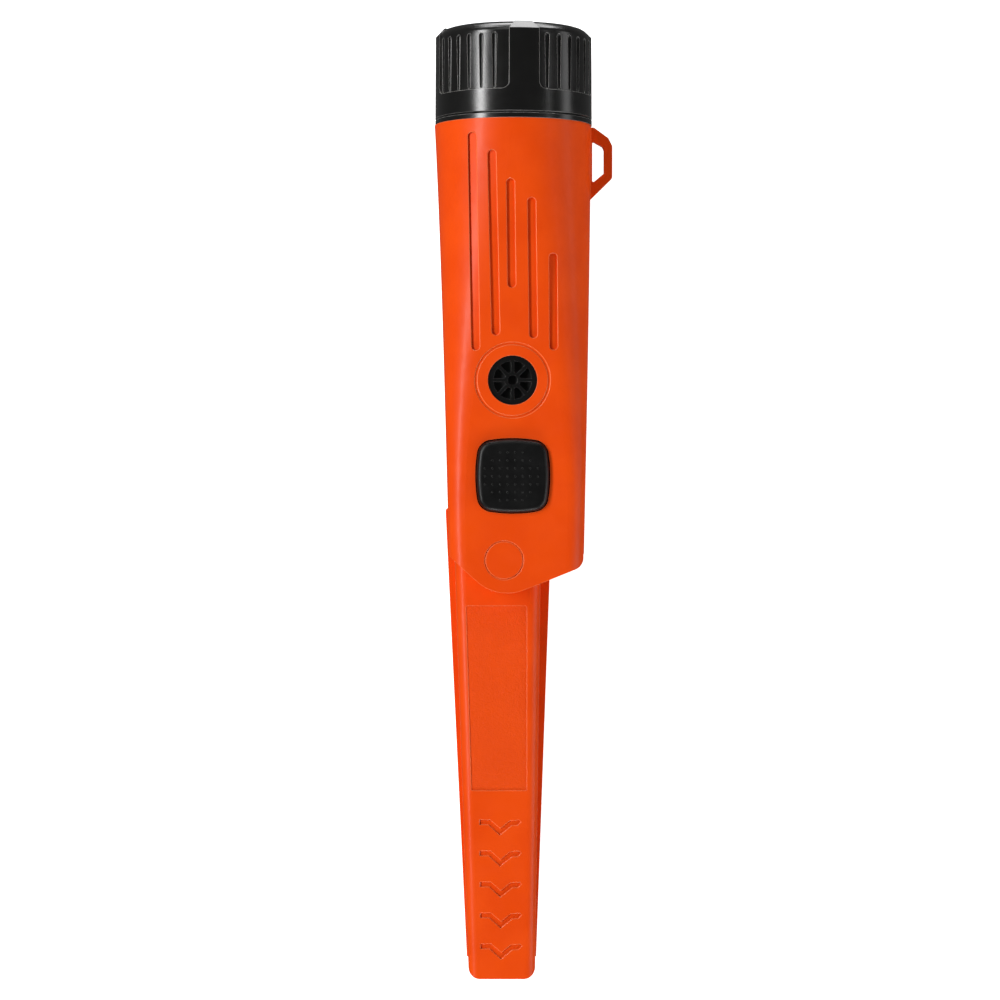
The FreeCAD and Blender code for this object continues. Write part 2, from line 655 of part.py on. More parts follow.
def build_housing():
    outside, hollow = build_housing_forms()
    bosses = [rod("screw_boss_%d" % number, "boss_radius", "40", (x, y, "-1"), UPRIGHT)
              for number, (x, y) in enumerate(SCREW_PLACES)]
    posts = common("bosses", group("boss_posts", bosses), handle_form("boss_limit", "wall * 0.5"))
    lamp_boss = common("lamp_boss", rod("lamp_boss_rod", "lens_radius + 1.2", "8", ("led_x", "-19", "led_z")),
                       handle_form("lamp_boss_limit", "wall * 0.5"))
    shell = fuse("shell", cut("bare_shell", outside, hollow), posts, lamp_boss)
    lamp_hole = rod("lamp_hole", "lens_radius", "20", ("led_x", "-22", "led_z"))
    neck_seat = rod("neck_seat", "seat_radius", "12", ("0", "seam_y - 8", "axis_z"))
    pilots = [rod("screw_pilot_%d" % number, "screw_radius + 0.02", "19", (x, y, "5"), UPRIGHT)
              for number, (x, y) in enumerate(SCREW_PLACES)]
    heads = [rod("screw_recess_%d" % number, "screw_head + 0.2", "6.4", (x, y, "-1"), UPRIGHT)
             for number, (x, y) in enumerate(SCREW_PLACES)]
    under_back = block("under_back", ("-40", "tip_y - 10", "-2"), ("40", "seam_y + 10", "0"))

    speaker_hole = on_face(rod("speaker_hole", "grille_radius + 0.05", "8", ("0", "0", "-6"), UPRIGHT),
                           "speaker_x", "speaker_y")
    window = button_prism("button_window", "gap", "-8", "4")
    front = cut("front_shell", common("front_half", shell, seam_side("above_seam", True)), neck_seat,
                lamp_hole, speaker_hole, window, *(pilots + grip_grooves() + probe_marks()))
    sub_part("front_housing", front)
    back = cut("back_shell", common("back_half", shell, seam_side("below_seam", False)), neck_seat, lamp_hole,
               under_back, *(pilots + heads))
    sub_part("back_housing", back)
    screws = []
    for number, (x, y) in enumerate(SCREW_PLACES):
        shank = rod("screw_shank_%d" % number, "screw_radius", "18", (x, y, "5"), UPRIGHT)
        head = rod("screw_head_%d" % number, "screw_head", "1.9", (x, y, "3.5"), UPRIGHT)
        slots = [block("screw_slot_%d_%d" % (number, turn),
                       ("%s - %s" % (x, half_x), "%s - %s" % (y, half_y), "3"),
                       ("%s + %s" % (x, half_x), "%s + %s" % (y, half_y), "4.5"))
                 for turn, (half_x, half_y) in enumerate((("1.5", "0.3"), ("0.3", "1.5")))]
        screws.append(cut("housing_screw_%d" % number, fuse("screw_%d" % number, shank, head),
                          fuse("screw_cross_%d" % number, *slots)))
    sub_part("housing_screws", group("screw_set", screws))


# ---------------------------------------------------------------- neck, seal and cap


def thread_ridge(name, root, crest, base_width, crest_width, first_y, turns):
    """A helical ridge round the cap's axis, right-handed, with its base at the root radius."""
    spine = doc.addObject("Part::Helix", name + "_spine")
    bind(spine, Pitch="thread_pitch", Height="thread_pitch * %s" % turns, Radius=root)
    place(spine, ("0", first_y, "axis_z"), ALONG_Y)
    radii = [value(text) for text in (root, crest)]
    halves = [value(text) / 2 for text in (base_width, crest_width)]
    corners = [(radii[0], -halves[0]), (radii[1], -halves[1]), (radii[1], halves[1]), (radii[0], halves[0])]
    start = spine.Placement.multVec(Vector(0, 0, 0))
    flat = Part.makePolygon([start + Vector(radius, along, 0) for radius, along in corners + corners[:1]])
    profile = doc.addObject("Part::Feature", name + "_profile")
    profile.Shape = flat
    sweep = doc.addObject("Part::Sweep", name)
    sweep.Sections = [profile]
    sweep.Spine = (spine, [])
    sweep.Solid = True
    sweep.Frenet = True
    return sweep


def threaded(name, body, ridge):
    solid = doc.addObject("Part::Fuse", name)
    solid.Base = body
    solid.Tool = ridge
    solid.Refine = False
    return solid


def build_neck():
    flange_top = "seam_y + flange_thick"
    seal_low = "cap_low_y + 1.2"
    body = revolve("neck", [
        ("neck_bore", "seam_y - 7.8"), ("seat_radius", "seam_y - 7.8"), ("seat_radius", "seam_y"),
        ("flange_radius", "seam_y"), ("flange_radius", flange_top), ("thread_root + 0.7", flange_top),
        ("thread_root + 0.7", seal_low), ("thread_root - 0.1", seal_low),
        ("thread_root - 0.1", seal_low + " + 1.8"),
        ("thread_root + 0.7", seal_low + " + 1.8"), ("thread_root + 0.7", seal_low + " + 2.4"),
        ("thread_root", seal_low + " + 2.8"), ("thread_root", "neck_top_y - 0.4"),
        ("thread_root - 0.4", "neck_top_y"), ("neck_bore", "neck_top_y")])
    ridge = thread_ridge("neck_thread", "thread_root - 0.3", "thread_root + thread_depth", "1.7", "0.8",
                         "thread_start_y + 0.2", "thread_turns")
    sub_part("neck_ring", threaded("neck_ring_solid", body, ridge))
    sub_part("neck_o_ring", torus("seal_ring", "thread_root + 0.55", "0.64",
                                  ("0", seal_low + " + 0.9", "axis_z")))


DOME_STEPS = 7


def pad_windows():
    """Four upright rounded windows, one for each fluted pad of the cap."""
    windows = []
    half = "cap_radius * sin(pad_half_angle * 1deg)"
    for number in range(4):
        body = doc.addObject("PartDesign::Body", "pad_window_%d" % number)
        sketch = outline(body, "pad_window_outline_%d" % number, "XY_Plane", [
            ("-" + half, "pad_low_y", "1.7"), (half, "pad_low_y", "1.7"), (half, "cap_top_y + 5"),
            ("-" + half, "cap_top_y + 5")])
        body.Tip = pad(body, sketch, "40")
        turn = value("strap_angle") + 45 + 90 * number
        body.Placement = Placement(point("0", "0", "axis_z"), Rotation(Vector(0, 1, 0), turn))
        windows.append(body)
    return fuse("pad_window_set", *windows)


def flute(name, angle):
    """A tapered round groove with round ends, at an angle about the cap's axis."""
    outward = Rotation(Vector(0, 1, 0), angle).multVec(Vector(0, 0, value("cap_radius - pad_drop - 0.05")))
    low, top = [point("0", y, "axis_z") + outward for y in ("flute_low_y", "flute_top_y")]
    taper = bind(doc.addObject("Part::Cone", name + "_taper"), Radius1="flute_low_radius",
                 Radius2="flute_top_radius", Height="flute_top_y - flute_low_y")
    taper.Placement = Placement(low, ALONG_Y)
    ends = []
    for end, spot in (("low", low), ("top", top)):
        ball = bind(doc.addObject("Part::Sphere", "%s_%s" % (name, end)), Radius="flute_%s_radius" % end)
        ball.Placement = Placement(spot, ALONG_Y)
        ends.append(ball)
    return fuse(name, taper, *ends)


def flutes():
    """Six flutes on each of the four pads."""
    cutters = []
    for quarter in range(4):
        middle = value("strap_angle + flute_shift") + 45 + 90 * quarter
        for step in range(6):
            angle = middle + value("flute_pitch") * (step - 2.5)
            cutters.append(flute("flute_%d_%d" % (quarter, step), angle))
    return group("flute_set", cutters)


def build_cap():
    top_in = "(cap_top_y - 2.3)"
    thread_bore = "(thread_root + thread_depth + gap)"
    seal_bore = "(thread_root + 1.35)"
    shell = revolve("cap_shell", [
        (seal_bore, "cap_low_y"), ("cap_radius - 0.25", "cap_low_y"), ("cap_radius", "cap_low_y + 0.25"),
        ("cap_radius - 0.1", "cap_top_y - cap_chamfer"), ("cap_radius - cap_chamfer", "cap_top_y"),
        ("0", "cap_top_y"), ("0", top_in), (thread_bore, top_in), (thread_bore, "thread_start_y - 0.6"),
        (seal_bore, "thread_start_y - 1.1")])
    surface = "cap_radius - pad_drop"
    profile = [(surface, "pad_low_y")]
    for step in range(DOME_STEPS + 1):
        angle = math.pi / 2 * step / DOME_STEPS
        profile.append(("%s - dome_reach * %.4f" % (surface, 1 - math.cos(angle)),
                        "cap_top_y - dome_fall * %.4f" % (1 - math.sin(angle))))
    profile += [(surface + " - dome_reach", "cap_top_y + 1"), ("cap_radius + 2", "cap_top_y + 1"),
                ("cap_radius + 2", "pad_low_y")]
    recess = common("pad_recess", revolve("pad_recess_ring", profile), pad_windows())
    gripped = cut("cap_with_pads", shell, recess)
    ridge = thread_ridge("cap_thread", thread_bore + " + 0.3", "thread_root + gap", "1.6", "0.7",
                         "thread_start_y + 0.2 + thread_pitch / 2", "thread_turns")
    sub_part("battery_cap", threaded("battery_cap_solid", cut("fluted_cap", gripped, flutes()), ridge))
    pad_low = "(battery_low_y + battery_length + 0.3)"
    sub_part("battery_pad", rod("foam_pad", "neck_bore - 1", "%s - 0.15 - %s" % (top_in, pad_low),
                                ("0", pad_low, "axis_z")))


# ---------------------------------------------------------------- battery and its seat


def build_battery():
    body = doc.addObject("PartDesign::Body", "battery_can")
    sketch = rounded_section(
        body, "battery_outline", "battery_low_y", "-battery_width / 2", "battery_width / 2",
        "axis_z - battery_depth / 2", "axis_z + battery_depth / 2", "2.2", "2.2")
    case = pad(body, sketch, "battery_length")
    case.Reversed = True
    body.Tip = case
    sub_part("battery_9v", body)
    stud_x, ring_x = "snap_spacing / 2", "-snap_spacing / 2"
    stud = rod("snap_stud", "2.8", "2.6", (stud_x, "battery_low_y - 2.6", "axis_z"))
    collar = tube("snap_collar", "4.1", "3.0", "2.6", (ring_x, "battery_low_y - 2.6", "axis_z"))
    sub_part("battery_snaps", group("snap_pair", [stud, collar]))
    plate_y = "(battery_low_y - 4.4)"
    blank = block("plate_block", ("-14.4", plate_y, "7.5"), ("15", plate_y + " + 1.6", "31.6"))
    plate = common("plate_in_bore", blank, handle_form("plate_limit", "wall + 0.35"))
    sub_part("contact_plate", plate)
    contact_stud = rod("contact_stud", "2.8", "2.6", (ring_x, plate_y + " + 1.6", "axis_z"))
    contact_collar = tube("contact_collar", "4.0", "2.95", "2.6", (stud_x, plate_y + " + 1.6", "axis_z"))
    sub_part("snap_contacts", group("contact_pair", [contact_stud, contact_collar]))
    low_y, top_y = plate_y + " + 1.8", "seam_y - 8"
    outer = block("sleeve_outside", ("-battery_width / 2 - 1.6", low_y, "axis_z - battery_depth / 2 - 1.6"),
                  ("battery_width / 2 + 1.6", top_y, "axis_z + battery_depth / 2 + 1.6"))
    inner = block("sleeve_inside",
                  ("-battery_width / 2 - 0.25", low_y + " - 1", "axis_z - battery_depth / 2 - 0.25"),
                  ("battery_width / 2 + 0.25", top_y + " + 1", "axis_z + battery_depth / 2 + 0.25"))
    sleeve = cut("sleeve_walls", outer, inner)
    sub_part("battery_sleeve", common("sleeve_in_bore", sleeve, handle_form("sleeve_limit", "wall + 0.35")))


# ---------------------------------------------------------------- speaker, button and switch


def build_speaker():
    top = "-0.5"
    disc = rod("grille_disc", "grille_radius", "grille_thick", ("0", "0", top + " - grille_thick"), UPRIGHT)
    holes = []
    for number in range(8):
        sector = tube("grille_slot_ring_%d" % number, "slot_reach", "hub_radius", "10",
                      ("0", "0", "-6"), UPRIGHT)
        wedge = bind(doc.addObject("Part::Cylinder", "grille_wedge_%d" % number), Radius="7", Height="10")
        wedge.Angle = 45
        wedge.Placement = Placement(Vector(0, 0, -6), Rotation(Vector(0, 0, 1), 45 * number))
        spoke = block("grille_spoke_%d" % number, ("-7", "-spoke_half", "-7"), ("7", "spoke_half", "5"))
        other = block("grille_rib_%d" % number, ("-7", "-spoke_half", "-7"), ("7", "spoke_half", "5"))
        for rib, turn in ((spoke, 45 * number), (other, 45 * number + 45)):
            corner = Vector(rib.Placement.Base)
            for axis in "xyz":
                rib.setExpression(".Placement.Base." + axis, None)
            spin = Rotation(Vector(0, 0, 1), turn)
            rib.Placement = Placement(spin.multVec(corner), spin)
        room = common("grille_sector_%d" % number, sector, wedge)
        holes.append(cut("grille_hole_%d" % number, room, spoke, other))
    holes.append(rod("grille_centre", "hub_hole", "10", ("0", "0", "-6"), UPRIGHT))
    ledge = rod("grille_ledge", "grille_radius + 0.9", "0.8", ("0", "0", "-wall - 0.95"), UPRIGHT)
    core = rod("grille_ledge_core", "5.2", "2", ("0", "0", "-wall - 1.5"), UPRIGHT)
    stem = tube("grille_stem", "grille_radius", "5.2", "2", ("0", "0", "-wall - 0.9"), UPRIGHT)
    grille = fuse("grille_solid", cut("grille_face", disc, group("grille_holes", holes)), stem,
                  cut("grille_collar", ledge, core))
    sub_part("speaker_grille", on_face(grille, "speaker_x", "speaker_y"))
    mesh = rod("mesh_disc", "5.1", "0.3", ("0", "0", "-wall - 0.4"), UPRIGHT)
    sub_part("speaker_mesh", on_face(mesh, "speaker_x", "speaker_y"))
    driver_top = "(-wall - 1.1)"
    basket = rod("driver_basket", "8.2", "2.6", ("0", "0", driver_top + " - 2.6"), UPRIGHT)
    dish = rod("driver_dish", "6.6", "1", ("0", "0", driver_top + " - 0.7"), UPRIGHT)
    sub_part("speaker_frame", on_face(cut("driver_frame", basket, dish), "speaker_x", "speaker_y"))
    disc = rod("piezo_disc", "6.5", "0.3", ("0", "0", driver_top + " - 0.65"), UPRIGHT)
    sub_part("speaker_disc", on_face(disc, "speaker_x", "speaker_y"))


def button_dots():
    """Rows of small raised dots; each row is centred."""
    rows = [4, 6, 8, 8, 8, 6, 4]
    dots = []
    for row, count in enumerate(rows):
        for column in range(count):
            x = value("dot_pitch_x") * (column - (count - 1) / 2) - value("dot_shift")
            y = value("dot_pitch_y") * ((len(rows) - 1) / 2 - row)
            dot = bind(doc.addObject("Part::Cone", "dot_%d_%d" % (row, column)),
                       Radius1="0.34", Radius2="0.2", Height="0.4")
            dot.Placement = Placement(Vector(x, y, value("button_proud - 0.25")), Rotation())
            dots.append(dot)
    return dots


def build_button():
    cap = button_prism("button_cap", "0", "-wall - 1.4", "button_proud", face=False)
    top = value("button_proud")
    cap.Tip = round_edges(cap, cap.Tip, "button_round",
                          lambda edge: abs(edge.BoundBox.ZMin - top) < 0.01 and abs(edge.BoundBox.ZMax - top) < 0.01)
    skirt = button_prism("button_skirt", "0.9", "-wall - 2.4", "-wall - 0.3", face=False)
    hollow = button_prism("button_hollow", "-1.6", "-wall - 3", "-0.7", face=False)
    stem = rod("button_stem", "2.2", "wall + 3.3", ("0", "0", "-wall - 3.6"), UPRIGHT)
    shell = cut("button_shell", fuse("button_blank", cap, skirt), hollow)
    rubber = fuse("button_rubber", shell, stem, *button_dots())
    sub_part("power_button", on_face(rubber, "button_x", "button_y"))
    switch_top = "(-wall - 5.4)"
    actuator = rod("actuator_pin", "1.7", "1.7", ("0", "0", switch_top + " + 0.1"), UPRIGHT)
    sub_part("switch_plunger", on_face(actuator, "button_x", "button_y"))
    body = block("switch_block", ("-3.1", "-3.1", switch_top + " - 3.6"), ("3.1", "3.1", switch_top))
    well = rod("switch_well", "1.85", "2", ("0", "0", switch_top + " - 1"), UPRIGHT)
    sub_part("tact_switch", on_face(cut("switch_body", body, well), "button_x", "button_y"))
    blank = button_prism("retainer_outer", "2.4", "-wall - 4.2", "-wall - 0.6", face=False)
    frame = cut("retainer_frame", blank, button_prism("retainer_room", "1.3", "-wall - 3.3", "0", face=False),
                button_prism("retainer_opening", "-0.8", "-wall - 6", "0", face=False))
    sub_part("button_retainer", on_face(frame, "button_x", "button_y"))


# ---------------------------------------------------------------- circuit board, lamp and motor


def build_board():
    body = doc.addObject("PartDesign::Body", "board_plate")
    corners = [("board_left", "board_low_y", "1"), ("board_right", "board_low_y", "1"),
               ("board_right", "board_top_y", "1"), ("board_left", "board_top_y", "1")]
    sketch = outline(body, "board_outline", "XY_Plane", corners, "board_z")
    body.Tip = pad(body, sketch, "board_thick")
    holes = [rod("board_hole_%d" % number, "1.1", "6", ("0.3", y, "board_z - 2"), UPRIGHT)
             for number, y in enumerate(("board_low_y + 3.5", "board_top_y - 3.5"))]
    board = cut("board_solid", body, *holes)
    sub_part("main_board", board)
    top = "(board_z + board_thick)"
    packages = [("-6.6", "15", "5", "6.4"), ("1.6", "15.6", "6", "5"), ("-6", "38", "4", "5"),
                ("2.4", "-8.4", "4", "3")]
    chips = [block("chip_%d" % number, (x, y, top), (x + " + " + wide, y + " + " + long, top + " + 1.2"))
             for number, (x, y, wide, long) in enumerate(packages)]
    sub_part("board_chips", group("chip_set", chips))
    parts = [rod("capacitor_%d" % number, "1.9", "4.2", (x, y, top), UPRIGHT)
             for number, (x, y) in enumerate([("5.6", "24"), ("5.6", "36"), ("-4.8", "-5.4")])]
    sub_part("board_capacitors", group("capacitor_set", parts))
    screws = []
    for number, y in enumerate(("board_low_y + 3.5", "board_top_y - 3.5")):
        shank = rod("board_shank_%d" % number, "1", "7", ("0.3", y, top + " - 7"), UPRIGHT)
        head = rod("board_head_%d" % number, "1.9", "1.2", ("0.3", y, top), UPRIGHT)
        groove = block("board_slot_%d" % number, ("-2", y + " - 0.25", top + " + 0.7"),
                       ("3", y + " + 0.25", top + " + 2"))
        blank = fuse("board_screw_blank_%d" % number, shank, head)
        screws.append(cut("board_screw_%d" % number, blank, groove))
    sub_part("board_screws", group("board_screw_set", screws))
    posts = [tube("board_post_%d" % number, "2.4", "1", "board_z - wall", ("0.3", y, "wall"), UPRIGHT)
             for number, y in enumerate(("board_low_y + 3.5", "board_top_y - 3.5"))]
    sub_part("board_standoffs", group("post_set", posts))


def build_lamp():
    sub_part("lamp_lens", rod("lens_rod", "lens_radius - 0.02", "3.5", ("led_x", "-17.2", "led_z")))
    base_y = "-12.9"
    dome = doc.addObject("Part::Sphere", "led_dome")
    place(bind(dome, Radius="2.3"), ("led_x", base_y + " + 1.9", "led_z"))
    lamp = fuse("led_solid", common("led_nose", dome, block("led_nose_box", ("led_x - 4", "-18", "led_z - 4"),
                                                            ("led_x + 4", base_y + " + 1.9", "led_z + 4"))),
                rod("led_barrel", "2.3", "4", ("led_x", base_y + " + 1.9", "led_z")),
                rod("led_rim", "2.6", "0.9", ("led_x", base_y + " + 5.2", "led_z")))
    sub_part("lamp_led", lamp)
    legs = []
    for number, side in enumerate(("-1.2", "1.2")):
        start = ("led_x + (%s)" % side, base_y + " + 6.1", "led_z")
        legs.append(rod("led_leg_%d" % number, "0.3", "7", start))
    sub_part("lamp_leads", group("led_legs", legs))


def build_motor():
    low_y = "20"
    sub_part("vibration_motor", rod("motor_can", "motor_radius", "10", ("motor_x", low_y, "motor_z")))
    clip = cut("clip_block", block("clip_blank", ("motor_x - 4.4", low_y + " + 2.6", "wall"),
                                   ("motor_x + 4.4", low_y + " + 7.4", "motor_z + 1.6")),
               rod("clip_bore", "motor_radius", "20", ("motor_x", low_y + " - 4", "motor_z")))
    sub_part("motor_clip", clip)
    shaft_low = "(%s - 5)" % low_y
    sub_part("motor_shaft", rod("motor_shaft_rod", "0.5", "4.9", ("motor_x", shaft_low, "motor_z")))
    disc = rod("weight_disc", "2.8", "3.2", ("motor_x", shaft_low, "motor_z"))
    half = block("weight_half", ("motor_x - 4", shaft_low + " - 1", "motor_z - 4"),
                 ("motor_x + 4", shaft_low + " + 5", "motor_z + 0.7"))
    hole = rod("weight_hole", "0.5", "6", ("motor_x", shaft_low + " - 1", "motor_z"))
    sub_part("eccentric_weight", cut("weight_solid", common("weight_lump", disc, half), hole))


# ---------------------------------------------------------------- sensing coil in the probe


def build_coil():
    length = "former_top_y - former_low_y"
    core = rod("core_rod", "rod_radius", length + " - 3", ("rod_x", "former_low_y + 1.5", "rod_z"))
    sub_part("ferrite_rod", core)
    barrel = tube("former_barrel", "former_radius", "rod_radius", length, ("rod_x", "former_low_y", "rod_z"))
    rings = []
    for number, y in enumerate(("former_low_y", "former_low_y + 14", "former_low_y + 30", "former_low_y + 57",
                                "former_low_y + 73", "former_top_y - 1")):
        rings.append(tube("former_rib_%d" % number, "former_radius + 0.9", "former_radius - 0.2", "1",
                          ("rod_x", y, "rod_z")))
    sub_part("coil_former", fuse("former_solid", barrel, *rings))
    receive_places = ("former_low_y + 1", "former_low_y + 58")
    receive = [tube("receive_turns_%d" % number, "former_radius + 0.7", "former_radius", "13",
                    ("rod_x", y, "rod_z")) for number, y in enumerate(receive_places)]
    sub_part("receive_coils", group("receive_set", receive))
    sub_part("transmit_coil", tube("transmit_turns", "former_radius + 0.8", "former_radius", "26",
                                   ("rod_x", "former_low_y + 31", "rod_z")))
    foams = []
    for number, y in enumerate(("former_low_y + 17", "former_top_y - 13")):
        ring = cut("foam_ring_%d" % number, block("foam_block_%d" % number, ("rod_x - 5.4", y, "wall + 0.1"),
                                                  ("rod_x + 5.4", y + " + 9", "rod_z + 5.6")),
                   rod("foam_bore_%d" % number, "former_radius", "30", ("rod_x", y + " - 5", "rod_z")))
        foams.append(ring)
    sub_part("coil_cushions", group("foam_set", foams))


# ---------------------------------------------------------------- wires held inside


def lead(name, route, radius):
    """A wire of straight runs joined by arcs as large as the runs allow."""
    spots = [point(*spot) for spot in route]
    start = spots[0]
    edges = []
    for before, corner, after in zip(spots, spots[1:], spots[2:]):
        arriving, leaving = (before - corner), (after - corner)
        run = min(arriving.Length, leaving.Length) * 0.45
        arriving.normalize()
        leaving.normalize()
        first, last = corner + arriving * run, corner + leaving * run
        bisector = arriving + leaving
        bisector.normalize()
        half_turn = (math.pi - arriving.getAngle(leaving)) / 2
        bend = run / math.tan(half_turn)
        middle = corner + bisector * (math.hypot(run, bend) - bend)
        edges += [Part.LineSegment(start, first).toShape(), Part.Arc(first, middle, last).toShape()]
        start = last
    edges.append(Part.LineSegment(start, spots[-1]).toShape())
    section = Part.Wire(Part.Circle(spots[0], spots[1] - spots[0], value(radius)).toShape())
    wire = doc.addObject("Part::Feature", name)
    wire.Shape = Part.Wire(edges).makePipeShell([section], True, True)
    return wire


def build_leads():
    board_top = "board_z + board_thick"
    plate_under = "battery_low_y - 4.4"
    speaker_low = front_height("speaker_y") + " - wall - 3.8"
    routes = {
        "battery_leads": [[(x, plate_under, "25.4"), (x, plate_under + " - 3", "25.6"),
                           (x, "board_top_y - 3", board_top + " + 2.4"), (x, "board_top_y - 3", board_top)]
                          for x in ("-5.5", "5.6")],
        "coil_leads": [[(x, "former_top_y", "rod_z + 4.2"), (x, "former_top_y + 4.5", "rod_z + 4.6"),
                        (x, "former_top_y + 10", "rod_z + 7.5"), (x, "board_low_y + 2.4", "board_z - 3"),
                        (x, "board_low_y + 2.4", "board_z")] for x in ("rod_x - 1.3", "rod_x + 1.1")],
        "speaker_leads": [[(x, "speaker_y + 5", speaker_low), (x, "speaker_y + 5.4", speaker_low + " - 2.4"),
                           (x, "speaker_y + 4.4", board_top + " + 2.4"), (x, "speaker_y + 4.4", board_top)]
                          for x in ("-2.4", "0.4")],
        "motor_leads": [[(x, "30.15", "motor_z"), (x, "32.6", "motor_z + 0.2"), (x, "34.9", "motor_z + 4.5"),
                         (x, "34.9", "board_z")] for x in ("motor_x - 1.2", "motor_x + 1.2")],
    }
    for name, pair in routes.items():
        wires = [lead("%s_%d" % (name, number), route, "0.4") for number, route in enumerate(pair)]
        sub_part(name, group(name + "_set", wires))


build_housing()
build_neck()
build_cap()
build_battery()
build_speaker()
build_button()
build_board()
build_lamp()
build_motor()
build_coil()
build_leads()
doc.recompute()

# ---------------------------------------------------------------- check and write

failed = [thing.Label for thing in doc.Objects if "Invalid" in thing.State or "Error" in thing.State]
if failed:
    raise RuntimeError("failed objects: %s" % ", ".join(failed))
for name, thing in NODES.items():
    if thing.Shape.isNull() or not thing.Shape.isValid() or not thing.Shape.Solids:
        raise RuntimeError("%s has no valid solid" % name)
    thing.Shape.exportStep("parts/%s.step" % name)
    print("%-18s solids %2d  volume %9.1f mm3" % (name, len(thing.Shape.Solids), thing.Shape.Volume))
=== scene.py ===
import json

import bpy
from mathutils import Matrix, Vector


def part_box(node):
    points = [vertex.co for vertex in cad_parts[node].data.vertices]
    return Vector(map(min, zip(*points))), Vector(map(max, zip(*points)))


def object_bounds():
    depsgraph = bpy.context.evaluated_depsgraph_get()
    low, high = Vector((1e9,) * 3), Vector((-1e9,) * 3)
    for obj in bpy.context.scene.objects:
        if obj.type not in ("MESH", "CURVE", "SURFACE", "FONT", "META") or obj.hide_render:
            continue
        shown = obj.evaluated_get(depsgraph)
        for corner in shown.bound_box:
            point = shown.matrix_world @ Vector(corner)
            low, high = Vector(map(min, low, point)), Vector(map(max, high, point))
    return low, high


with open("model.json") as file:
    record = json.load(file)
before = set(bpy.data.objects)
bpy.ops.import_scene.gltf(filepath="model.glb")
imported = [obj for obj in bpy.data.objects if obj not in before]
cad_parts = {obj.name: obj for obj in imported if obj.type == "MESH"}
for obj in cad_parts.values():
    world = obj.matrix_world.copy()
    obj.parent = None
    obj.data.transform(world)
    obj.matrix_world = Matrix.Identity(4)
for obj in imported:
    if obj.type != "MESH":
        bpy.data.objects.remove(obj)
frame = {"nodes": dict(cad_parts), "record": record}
cad_low, cad_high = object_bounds()

# ---------------------------------------------------------------- places, in metres, from the frame

cap_low, cap_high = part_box("battery_cap")
AXIS_Z = (cap_low.z + cap_high.z) / 2


# ---------------------------------------------------------------- shader helpers

# the dot of the softened and the real normal, at and below which the edge mask is full (full painted highlight),
# and above which it is zero
EDGE_FULL, EDGE_NONE = 0.90, 0.985
# how far an edge goes from the base colour to its painted highlight colour
PAINTED_HIGHLIGHT_MIX = 0.7
BEVEL_SAMPLES = 6
FINE_GRAIN, FINE_GRAIN_DEPTH, SOFT_EDGE = 0.00012, 0.000004, 0.00015


